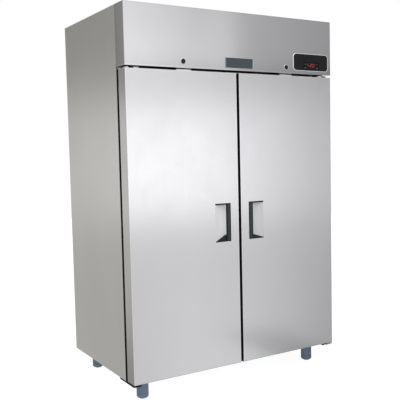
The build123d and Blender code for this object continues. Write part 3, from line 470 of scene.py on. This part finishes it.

# a round pale floor: its own glow washes it out for the camera, and in reflections it glows with painted light set by
# azimuth, with a painted darker patch
disc = Shape()
rings_f = []
for rad in (0.0, 0.4, 0.8, 1.2, 1.8, 2.6, 3.6, 5.0, 7.0, 10.0):
    rings_f.append([(max(rad, 1e-4) * math.cos(2 * math.pi * k / 64), max(rad, 1e-4) * math.sin(2 * math.pi * k / 64), 0.0) for k in range(64)])
disc.loft(rings_f, cap0=False, cap1=False)
me = bpy.data.meshes.new("floor")
me.from_pydata(disc.v, [], disc.f)
floor = bpy.data.objects.new("floor", me)
scene.collection.objects.link(floor)
m, nt, bsdf = new_material("floor_pale")
cloud = noise(nt, coords(nt), 0.8, 3.0)
nt.links.new(ramp(nt, cloud, [(0.3, 0.29), (0.7, 0.31)]), bsdf.inputs["Base Color"])
bsdf.inputs["Roughness"].default_value = 0.95
bsdf.inputs["Specular IOR Level"].default_value = 0.0
bsdf.inputs["Emission Color"].default_value = (1, 1, 1, 1)
bsdf.inputs["Emission Strength"].default_value = 0.90
tc = nt.nodes.new("ShaderNodeTexCoord")
sep = nt.nodes.new("ShaderNodeSeparateXYZ")
nt.links.new(tc.outputs["Object"], sep.inputs[0])
faz = azimuth(nt, math_node(nt, "ADD", sep.outputs[0], 2.104), math_node(nt, "SUBTRACT", sep.outputs[1], 2.631))
front_l = curve(nt, faz, -180, 180, LOW)
behind = maprange(nt, math_node(nt, "SUBTRACT", sep.outputs[0], sep.outputs[1]), -0.45, -0.15, 1.0, 0.0)
pool = blend(nt, front_l, math_node(nt, "ADD", 0.61, 0.0), behind)
ahead = math_node(nt, "MULTIPLY", math_node(nt, "ADD", sep.outputs[1], 0.416), -1.0)
# painted shade: a darker patch of the floor's glow in front of the right door, seen in its reflection
floor_painted_shade = math_node(nt, "MULTIPLY", maprange(nt, sep.outputs[0], 0.40, 0.50, 0.0, 1.0, True), maprange(nt, sep.outputs[0], 0.70, 1.00, 1.0, 0.0, True))
floor_painted_shade = math_node(nt, "MULTIPLY", floor_painted_shade, maprange(nt, ahead, 0.70, 1.05, 1.0, 0.0, True))
pool = math_node(nt, "MULTIPLY", pool, maprange(nt, floor_painted_shade, 0.0, 1.0, 1.0, 0.72))
em = nt.nodes.new("ShaderNodeEmission")
nt.links.new(mix_color(nt, behind, (0.995, 0.99, 1.0), (1.0, 0.985, 0.945)), em.inputs["Color"])
nt.links.new(pool, em.inputs["Strength"])
lpf = nt.nodes.new("ShaderNodeLightPath")
mxf = nt.nodes.new("ShaderNodeMixShader")
nt.links.new(lpf.outputs["Is Camera Ray"], mxf.inputs[0])
nt.links.new(em.outputs[0], mxf.inputs[1])
nt.links.new(bsdf.outputs[0], mxf.inputs[2])
outn = [n for n in nt.nodes if n.bl_idname == "ShaderNodeOutputMaterial"][0]
nt.links.new(mxf.outputs[0], outn.inputs[0])
me.materials.append(m)


def area(name, loc, target, size, power, color=(1, 1, 1)):
    ld = bpy.data.lights.new(name, "AREA")
    ld.shape = "RECTANGLE"
    ld.size, ld.size_y = size
    ld.energy = power
    ld.color = color
    lo = bpy.data.objects.new(name, ld)
    scene.collection.objects.link(lo)
    lo.location = loc
    lo.rotation_mode = "QUATERNION"
    lo.rotation_quaternion = (Vector(target) - Vector(loc)).to_track_quat("-Z", "Y")
    return lo


area("top_soft", (-0.6, -1.2, 5.2), (0, 0, 0.8), (5.0, 5.0), 90)

scene.view_settings.view_transform = "Standard"
scene.view_settings.look = "None"

# ------------------------------------------------------------------ materials
# the door and header steel carry painted highlight and shade lines along their edges; the door's returns carry painted
# shade and highlight by height, and its pull pocket carries painted light
door_steel = brushed("door_steel", (0.725, 0.722, 0.730), 0.225, "z", 0.015, 0.03, aniso=0.6, edge=0.65, pocket=True, painted_light_z=[(0.12, 0.68), (0.26, 0.78), (0.37, 0.93), (0.52, 1.08), (0.73, 1.17), (0.93, 1.18), (1.08, 0.98), (1.30, 0.92), (1.76, 0.96)], edge_light_lines=((0, 0.0070, 0.0135, 1.17), (0, 0.6800, 0.6860, 1.10), (2, 1.7535, 1.7590, 1.10), (2, 0.1210, 0.1265, 0.86)))
header_steel = brushed("header_steel", (0.62, 0.62, 0.633), 0.095, "x", 0.015, 0.015, aniso=-0.2, edge=0.80, edge_light_lines=((2, 1.7715, 1.7800, 1.12), (2, 2.0850, 2.0905, 0.93)))
side_steel = brushed("casing_steel", (0.60, 0.60, 0.588), 0.30, "z", 0.025, 0.04, aniso=0.6)
galv = brushed("galvanised", (0.56, 0.58, 0.59), 0.42, "none", 0.04, 0.08, spots=0.12)
liner_metal = brushed("liner_metal", (0.80, 0.81, 0.82), 0.34, "x", 0.03, 0.05)
rail_steel = brushed("shelf_rail", (0.66, 0.66, 0.65), 0.34, "z", 0.05, 0.06)
zinc = brushed("zinc_steel", (0.74, 0.75, 0.76), 0.28, "none", 0.08, 0.08)
evap_alu = brushed("evaporator_aluminium", (0.74, 0.75, 0.76), 0.38, "x", 0.05, 0.06)
fin_alu = brushed("fin_aluminium", (0.62, 0.64, 0.66), 0.45, "z", 0.08, 0.2)
lock_metal = brushed("lock_metal", (0.035, 0.035, 0.038), 0.35, "none", 0.15, 0.05)
copper = brushed("copper", (0.72, 0.40, 0.26), 0.30, "none", 0.15, 0.05)
foam = plastic("foam", (0.80, 0.70, 0.42), 0.85, 0.12, 220.0, 0.5)
black_profile = plastic("black_profile", (0.010, 0.010, 0.011), 0.55, 0.15, spec=0.2)
wire_coat = plastic("shelf_wire", (0.60, 0.62, 0.63), 0.32, 0.05, 500.0, 0.05, coat=0.3)
hinge_black = plastic("hinge_black", (0.006, 0.006, 0.006), 0.55, 0.2, 1200.0, 0.15, wear=(0.012, 0.012, 0.013), spec=0.10)
for_zinc = hinge_black.node_tree
hz = [n for n in for_zinc.nodes if n.bl_idname == "ShaderNodeBsdfPrincipled"][0]
ht = for_zinc.nodes.new("ShaderNodeTexCoord")
hs = for_zinc.nodes.new("ShaderNodeSeparateXYZ")
for_zinc.links.new(ht.outputs["Object"], hs.inputs[0])
hx = math_node(for_zinc, "ABSOLUTE", hs.outputs[0])
bare = math_node(for_zinc, "ADD", math_node(for_zinc, "GREATER_THAN", hx, 0.656), math_node(for_zinc, "LESS_THAN", hx, 0.628))
above = math_node(for_zinc, "MULTIPLY", bare, math_node(for_zinc, "GREATER_THAN", hs.outputs[2], 1.0))
black_in = hz.inputs["Base Color"].links[0].from_socket
# painted light: the front edge of the lower plate on the right alone is painted grey, lighter towards the outer end, as
# if lit; the one on the left stays black
hn = for_zinc.nodes.new("ShaderNodeSeparateXYZ")
for_zinc.links.new(ht.outputs["Normal"], hn.inputs[0])
painted_lit_edge = math_node(for_zinc, "MULTIPLY", math_node(for_zinc, "LESS_THAN", hn.outputs[1], -0.8), math_node(for_zinc, "GREATER_THAN", hs.outputs[0], 0.0))
painted_lit_edge = math_node(for_zinc, "MULTIPLY", painted_lit_edge, math_node(for_zinc, "MULTIPLY", math_node(for_zinc, "GREATER_THAN", hs.outputs[2], 0.1102), math_node(for_zinc, "LESS_THAN", hs.outputs[2], 0.122)))
painted_edge_light = ramp(for_zinc, maprange(for_zinc, hs.outputs[0], 0.60, 0.67, 0.0, 1.0), [(0.3, (0.15, 0.15, 0.15)), (0.8, (0.42, 0.42, 0.42))])
black_in = mix_color(for_zinc, painted_lit_edge, black_in, painted_edge_light)
for_zinc.links.new(mix_color(for_zinc, above, black_in, (0.84, 0.83, 0.82)), hz.inputs["Base Color"])
for_zinc.links.new(maprange(for_zinc, above, 0.0, 1.0, 0.0, 0.9), hz.inputs["Metallic"])
leg_plastic = plastic("leg_plastic", (0.140, 0.196, 0.272), 0.42, 0.06, 900.0, 0.1, wear=(0.17, 0.225, 0.305))
foot_plastic = plastic("foot_plastic", (0.136, 0.190, 0.265), 0.45, 0.06, 900.0, 0.1, wear=(0.20, 0.24, 0.32))
panel_black = plastic("panel_black", (0.010, 0.0095, 0.010), 0.34, 0.1, 1500.0, 0.03, spec=0.18)
controller_black = plastic("controller_plastic", (0.005, 0.005, 0.006), 0.30, 0.1, spec=0.08)
key_grey = plastic("key_plastic", (0.016, 0.016, 0.018), 0.45, 0.1, spec=0.3)
key_blue = plastic("key_blue", (0.012, 0.020, 0.075), 0.45, 0.1, spec=0.3)
badge_slate = brushed("badge_slate", (0.056, 0.070, 0.080), 0.42, "x", 0.08, 0.05, metallic=0.25)
badge_rim = brushed("badge_rim", (0.78, 0.80, 0.82), 0.34, "x", 0.04, 0.04)
motor_paint = plastic("motor_paint", (0.03, 0.03, 0.032), 0.42, 0.15, wear=(0.12, 0.12, 0.12))
fan_plastic = plastic("fan_plastic", (0.02, 0.02, 0.022), 0.45, 0.1)
compressor_black = plastic("compressor_black", (0.013, 0.013, 0.015), 0.28, 0.15, 400.0, 0.06, coat=0.5)
cond_fins = plastic("condenser_fins", (0.02, 0.02, 0.02), 0.5, 0.2, 300.0, 0.3, metallic=0.3)
box_paint = plastic("box_paint", (0.36, 0.38, 0.40), 0.5, 0.05)
gland_black = plastic("gland_plastic", (0.02, 0.02, 0.02), 0.5, 0.1)
liner_plastic = plastic("door_liner_plastic", (0.72, 0.73, 0.74), 0.35, 0.03, 200.0, 0.04)
gasket_black = plastic("gasket_rubber", (0.018, 0.018, 0.020), 0.65, 0.1, spec=0.3)
grip_dark = plastic("handle_plastic", (0.013, 0.019, 0.016), 0.50, 0.10, 1400.0, 0.15, spec=0.15)
gt = grip_dark.node_tree
gb = [n for n in gt.nodes if n.bl_idname == "ShaderNodeBsdfPrincipled"][0]
gtc = gt.nodes.new("ShaderNodeTexCoord")
gno = gt.nodes.new("ShaderNodeSeparateXYZ")
gt.links.new(gtc.outputs["Normal"], gno.inputs[0])
gpo = gt.nodes.new("ShaderNodeSeparateXYZ")
gt.links.new(gtc.outputs["Object"], gpo.inputs[0])
# painted light: the grip bar's side wall facing into the pocket, behind its front, is painted near white where it lies
# in shade
wall = math_node(gt, "MULTIPLY", math_node(gt, "GREATER_THAN", math_node(gt, "ABSOLUTE", gno.outputs[0]), 0.8), math_node(gt, "GREATER_THAN", gpo.outputs[1], -0.4070))
wall = math_node(gt, "MULTIPLY", wall, math_node(gt, "GREATER_THAN", math_node(gt, "ABSOLUTE", gpo.outputs[0]), 0.085))
dark_in = gb.inputs["Base Color"].links[0].from_socket
gt.links.new(mix_color(gt, wall, dark_in, (0.92, 0.92, 0.925)), gb.inputs["Base Color"])
# painted highlight: a lighter tone of the grip plastic for the strip along the bar's middle
grip_highlight_plastic = plastic("handle_painted_highlight", (0.030, 0.047, 0.038), 0.45, 0.10, 1400.0, 0.10, spec=0.25)
bush_plastic = plastic("bush_plastic", (0.70, 0.70, 0.66), 0.4, 0.05)

by_slot = {
    "door_steel": door_steel, "casing_steel": side_steel, "galvanised": galv, "foam": foam, "liner_metal": liner_metal,
    "black_profile": black_profile, "shelf_rail": rail_steel, "shelf_wire": wire_coat, "hinge_black": hinge_black,
    "leg_plastic": leg_plastic, "foot_plastic": foot_plastic, "badge_slate": badge_slate, "panel_black": panel_black,
    "controller_plastic": controller_black, "key_plastic": key_grey, "zinc_steel": zinc, "lock_metal": lock_metal,
    "evaporator_aluminium": evap_alu, "fin_aluminium": fin_alu, "motor_paint": motor_paint, "fan_plastic": fan_plastic,
    "condenser_fins": cond_fins, "compressor_black": compressor_black, "copper": copper, "box_paint": box_paint,
    "gland_plastic": gland_black, "door_liner_plastic": liner_plastic, "gasket_rubber": gasket_black,
    "handle_plastic": grip_dark, "bush_plastic": bush_plastic,
}
slot_of = {s["node"]: s["material_slot"] for s in frame["record"]["subparts"]}
for name, ob in N.items():
    ob.data.materials.clear()
    ob.data.materials.append(by_slot[slot_of[name]])
N["header_panel"].data.materials[0] = header_steel

# ------------------------------------------------------------------ detail pieces (millimetres in the helpers below)
class Mill(Shape):
    """A Shape whose numbers are millimetres."""

    def out(self, name, mat, body, slot=None, **kw):
        self.v = [(x * MM, y * MM, z * MM) for x, y, z in self.v]
        if "bevel" in kw:
            kw["bevel"] *= MM
        return super().out(name, mat, body, slot, **kw)


def plate_profile(x0, x1, z0, z1, r, steps, n=6):
    """Rings of a rounded plate: steps are (inset, y) from the back to the front."""
    return [face_ring(x0 + d, x1 - d, z0 + d, z1 - d, max(r - d, 0.3), y, n) for d, y in steps]


for side_name, sg in (("left", -1), ("right", 1)):
    body = "door_" + side_name
    # edge trim in the seam between the doors: a black profile with two shallow ribs
    prof = [(6.95, -416.42), (6.45, -415.9), (6.45, -405.0), (6.15, -404.2), (6.15, -402.8), (6.45, -402.0), (6.45, -394.0), (6.15, -393.2), (6.15, -391.8), (6.45, -391.0), (6.45, -385.6), (6.95, -385.0), (7.6, -385.0), (7.6, -415.95), (9.0, -415.95), (9.1, -416.2), (8.9, -416.42)]
    tr = Mill()
    tr.loft([[(sg * (x + 0.0), y, z) for x, y in prof] for z in (124.0, 1756.0)])
    tr.out("seam_trim_" + side_name, black_profile, body, "black_profile")

    # a raised strip along the middle of the grip bar; its lighter colour is a painted highlight
    u0, u1 = 68.0, 84.0
    x0, x1 = (sg * u0, sg * u1) if sg > 0 else (sg * u1, sg * u0)
    ins = Mill()
    ins.loft(plate_profile(x0, x1, 831.0, 1035.0, 4.0, [(-0.6, -417.2), (-0.6, -418.02), (0.0, -418.45), (1.2, -418.75), (2.6, -418.8)]))
    ins.out("grip_highlight_strip_" + side_name, grip_highlight_plastic, body, "handle_plastic", smooth=50)

    # formed inner liner of the door
    lx0, lx1 = (sg * 10.0, sg * 641.0) if sg > 0 else (sg * 641.0, sg * 10.0)
    def lring(d, y, r):
        return face_ring(lx0 + d[0], lx1 - d[0], 130.0 + d[1], 1750.0 - d[1], r, y, 8)
    bd, bz = 51.5, 66.0
    lin = Mill()
    lin.loft([
        lring((0.0, 0.0), -336.0, 4.0), lring((0.0, 0.0), -334.9, 4.0), lring((bd - 4, bz - 4), -334.8, 34.0),
        lring((bd - 1.5, bz - 1.5), -334.4, 32.0), lring((bd + 0.5, bz + 0.5), -333.2, 30.0), lring((bd + 8.5, bz + 8.5), -324.2, 24.0),
        lring((bd + 10.5, bz + 10.5), -322.7, 22.0), lring((bd + 13.5, bz + 13.5), -322.1, 20.0), lring((bd + 34, bz + 34), -322.0, 16.0),
        lring((bd + 35.2, bz + 35.2), -322.12, 15.0), lring((bd + 37.4, bz + 37.4), -322.74, 14.0), lring((bd + 38.6, bz + 38.6), -322.9, 13.0), lring((bd + 52, bz + 52), -322.9, 12.0),
        lring((bd + 53.2, bz + 53.2), -322.78, 12.0), lring((bd + 55.4, bz + 55.4), -322.2, 11.0), lring((bd + 56.6, bz + 56.6), -322.1, 11.0),
    ])
    lo = lin.out("door_inner_" + side_name, liner_plastic, body, "door_liner_plastic", smooth=50)
    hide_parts("door_liner_" + side_name)

    # bellows gasket: dart, fold and magnet pocket, one section run round the frame
    gx0, gx1 = (sg * 12.5, sg * 640.0) if sg > 0 else (sg * 640.0, sg * 12.5)
    sec = [(2.0, -334.7), (12.0, -334.7), (12.6, -332.4), (9.6, -331.2), (9.6, -329.8), (13.4, -328.0), (13.6, -327.0), (10.6, -325.4), (10.6, -324.2), (13.6, -322.6), (14.0, -319.5), (14.0, -315.4), (13.2, -314.6), (7.6, -314.6), (7.0, -315.0), (6.4, -314.6), (0.8, -314.6), (0.0, -315.4), (0.0, -319.5), (0.4, -322.6), (3.4, -324.2), (3.4, -325.4), (0.4, -327.0), (0.6, -328.0), (4.4, -329.8), (4.4, -331.2), (1.4, -332.4)]
    gk = Mill()
    gk.loft([face_ring(gx0 + d, gx1 - d, 160.0 + d, 1726.0 - d, max(6.0 - d * 0.3, 1.5), y, 5) for d, y in sec], loop=True)
    go = gk.out("gasket_bellows_" + side_name, gasket_black, body, "gasket_rubber", smooth=40)
    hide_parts("door_gasket_" + side_name)

    # lock: polished escutcheon ring, key plug face with its slot
    cx, cz = sg * 345.0, 1806.0
    es2 = Mill()
    prof_r = [(13.45, 0.0), (16.4, 0.0), (16.6, 0.6), (16.2, 1.3), (15.2, 1.8), (14.2, 1.8), (13.45, 1.2)]
    rings_e = []
    for r, h in prof_r:
        rings_e.append([(cx + r * math.cos(2 * math.pi * k / 48), -416.0 - h, cz + r * math.sin(2 * math.pi * k / 48)) for k in range(48)])
    es2.loft(rings_e, loop=True)
    es2.out("lock_ring_" + side_name, zinc, "header", "lock_metal", smooth=50)
    slot_b = Mill()
    slot_b.loft(plate_profile(cx - 0.9, cx + 0.9, cz - 4.2, cz + 4.2, 0.7, [(0.0, -418.3), (0.0, -418.62), (0.2, -418.68)], 4))
    slot_b.out("key_slot_" + side_name, controller_black, "lock_" + side_name, "lock_metal", smooth=40)

    # top hinge: white thrust washer on the pivot pin and the bright end of the hinge arm at the casing's corner
    px, py = sg * 641.0, -376.0
    sec_w = [(6.3, 1758.25), (11.6, 1758.25), (12.1, 1758.7), (12.1, 1760.4), (11.6, 1760.85), (6.3, 1760.85)]
    wa = Mill()
    wa.loft([[(px + r * math.cos(2 * math.pi * k / 36), py + r * math.sin(2 * math.pi * k / 36), z) for k in range(36)] for r, z in sec_w], loop=True)
    wa.out("hinge_washer_" + side_name, bush_plastic, "cabinet", "bush_plastic", smooth=50)
    ar = Mill()
    arm = [(-667.0, -352.0), (-676.0, -350.0), (-682.6, -343.0), (-683.6, -334.0), (-683.6, -318.0), (-667.0, -318.0)]
    ar.loft([[(-sg * x, y, z) for x, y in arm] for z in (1759.6, 1760.0, 1764.6, 1765.0)])
    ar.out("hinge_arm_" + side_name, zinc, "cabinet", "zinc_steel", bevel=0.5)

# ---- badge on the header: plate with a raised rim, left bare
bx0, bx1, bz0, bz1 = -78.0, 106.0, 1783.5, 1841.5
rim = Mill()
sec = [(0.0, -416.0), (0.0, -418.2), (0.2, -418.7), (0.6, -418.9), (1.1, -418.9), (1.5, -418.6), (1.7, -417.9), (1.7, -416.2)]
rim.loft([face_ring(bx0 + d, bx1 - d, bz0 + d, bz1 - d, max(3.0 - d, 0.6), y, 5) for d, y in sec], loop=True)
rim.out("badge_rim", badge_rim, "header", "badge_slate", smooth=40)
inl = Mill()
inl.loft(plate_profile(bx0 + 1.5, bx1 - 1.5, bz0 + 1.5, bz1 - 1.5, 1.0, [(0.0, -416.5), (0.0, -418.02), (0.6, -418.1), (1.6, -417.8), (5.0, -417.75), (5.5, -417.9), (7.0, -417.9)], 4))
inl.out("badge_field", badge_slate, "header", "badge_slate", smooth=40)

# ---- control panel: bezel, overlay, display and key caps
pr = Mill()
sec = [(-4.6, -415.9), (-4.6, -417.4), (-4.1, -418.2), (-3.0, -418.7), (-1.6, -418.8), (-0.4, -418.6), (0.0, -418.0), (0.0, -415.9)]
pr.loft([face_ring(400.0 + d, 659.0 - d, 1794.0 + d, 1888.0 - d, 19.0 - d, y, 10) for d, y in sec], loop=True)
pr.out("panel_bezel", badge_rim, "header", "panel_black", smooth=50)

lens = Mill()
lens.loft(plate_profile(497.0, 566.0, 1804.5, 1840.0, 3.0, [(-0.5, -417.9), (-0.5, -418.25), (0.0, -418.42), (1.0, -418.5), (2.0, -418.5)], 5))
lens_mat = plastic("display_lens", (0.010, 0.003, 0.003), 0.12, 0.1, 1500.0, 0.01, spec=0.35)
lens.out("display_lens", lens_mat, "header", "controller_plastic", smooth=50)

digit_red = glow("digit_red", (0.42, 0.040, 0.034), 0.55)
led_green = glow("led_green", (0.20, 0.55, 0.24), 0.16)
led_off = plastic("led_off", (0.06, 0.05, 0.045), 0.3, 0.1)
icon_pale = plastic("icon_pale", (0.40, 0.44, 0.40), 0.5, 0.05)
icon_blue = plastic("icon_blue", (0.05, 0.09, 0.32), 0.5, 0.05)

SEGS = {"-": "g", "2": "abged", "0": "abcdef"}


def digit(ch, cx, cz, w, h, t, y0, y1, lean):
    """Seven-segment figure built of six-sided bars."""
    sh = Mill()
    hw, hh = w / 2 - t / 2, h / 2 - t / 2
    bars = {
        "a": ((-hw, hh), (hw, hh)), "g": ((-hw, 0), (hw, 0)), "d": ((-hw, -hh), (hw, -hh)),
        "f": ((-hw, 0), (-hw, hh)), "b": ((hw, 0), (hw, hh)), "e": ((-hw, -hh), (-hw, 0)), "c": ((hw, -hh), (hw, 0)),
    }
    for sname in SEGS[ch]:
        (ax, az_), (bx, bz) = bars[sname]
        L = math.hypot(bx - ax, bz - az_)
        dx, dz = (bx - ax) / L, (bz - az_) / L
        g = 0.35
        a0, a1 = (ax + dx * g, az_ + dz * g), (bx - dx * g, bz - dz * g)
        nx, nz = -dz * t / 2, dx * t / 2
        k = t / 2
        pts = [a0, (a0[0] + dx * k + nx, a0[1] + dz * k + nz), (a1[0] - dx * k + nx, a1[1] - dz * k + nz), a1, (a1[0] - dx * k - nx, a1[1] - dz * k - nz), (a0[0] + dx * k - nx, a0[1] + dz * k - nz)]
        pts = [(cx + px + lean * pz, cz + pz) for px, pz in pts]
        sh.loft([[(px, y, pz) for px, pz in pts] for y in (y0, y1)])
    return sh


figs = Mill()
for ch, cx in (("-", 511.5), ("2", 529.5), ("0", 549.0)):
    dg = digit(ch, cx, 1825.0, 13.5, 18.5, 1.9, -418.4, -418.72, 0.10)
    figs.add(dg.v, dg.f)
figs.out("display_figures", digit_red, "header", "controller_plastic", smooth=30)
for k, (zz, mt) in enumerate(((1831.0, led_green), (1823.0, led_off), (1815.0, led_off))):
    ld_s = Mill()
    ld_s.lathe((501.5, -418.3, zz), (0, -1, 0), [(1.5, 0.0), (1.5, 0.25), (1.1, 0.4), (0.5, 0.48)], 16)
    ld_s.out("indicator_%d" % (k + 1), mt, "header", "controller_plastic", smooth=60)

KEYS = {"set": (486.0, 1810.0, key_grey), "defrost": (486.0, 1831.0, key_grey), "up": (577.0, 1832.0, key_blue), "down": (577.0, 1810.0, key_grey)}
for kn, (cx, cz, mt) in KEYS.items():
    cap = Mill()
    cap.loft(plate_profile(cx - 6.5, cx + 6.5, cz - 4.5, cz + 4.5, 2.0, [(0.0, -411.0), (0.0, -418.1), (0.25, -418.45), (0.7, -418.65), (2.2, -418.55), (3.4, -418.5)], 6))
    co = cap.out("key_cap_" + kn, mt, "key_" + kn, "key_plastic", smooth=50)
    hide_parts("button_" + kn)
    ic = Mill()
    if kn in ("up", "down"):
        sgn = 1 if kn == "up" else -1
        tri = [(cx - 2.6, cz - 1.6 * sgn), (cx + 2.6, cz - 1.6 * sgn), (cx, cz + 2.4 * sgn)]
        if sgn < 0:
            tri = tri[::-1]
        ic.loft([[(x, y, z) for x, z in tri] for y in (-418.4, -418.85)])
    elif kn == "set":
        ring_o = [[(cx + r * math.cos(2 * math.pi * k / 20), y, cz + r * math.sin(2 * math.pi * k / 20)) for k in range(20)] for r, y in ((2.4, -418.4), (2.4, -418.85), (1.5, -418.85), (1.5, -418.4))]
        ic.loft(ring_o, loop=True)
    else:
        for a in (0, 60, 120):
            c, q = math.cos(math.radians(a)), math.sin(math.radians(a))
            w = 0.38
            pts = [(cx + c * 2.5 - q * w, cz + q * 2.5 + c * w), (cx - c * 2.5 - q * w, cz - q * 2.5 + c * w), (cx - c * 2.5 + q * w, cz - q * 2.5 - c * w), (cx + c * 2.5 + q * w, cz + q * 2.5 - c * w)]
            y1 = -418.85 + 0.02 * (a / 60)
            ic.loft([[(x, y, z) for x, z in pts] for y in (-418.4, y1)])
    ic.out("key_icon_" + kn, icon_blue if kn == "up" else icon_pale, "key_" + kn, "key_plastic", smooth=30)
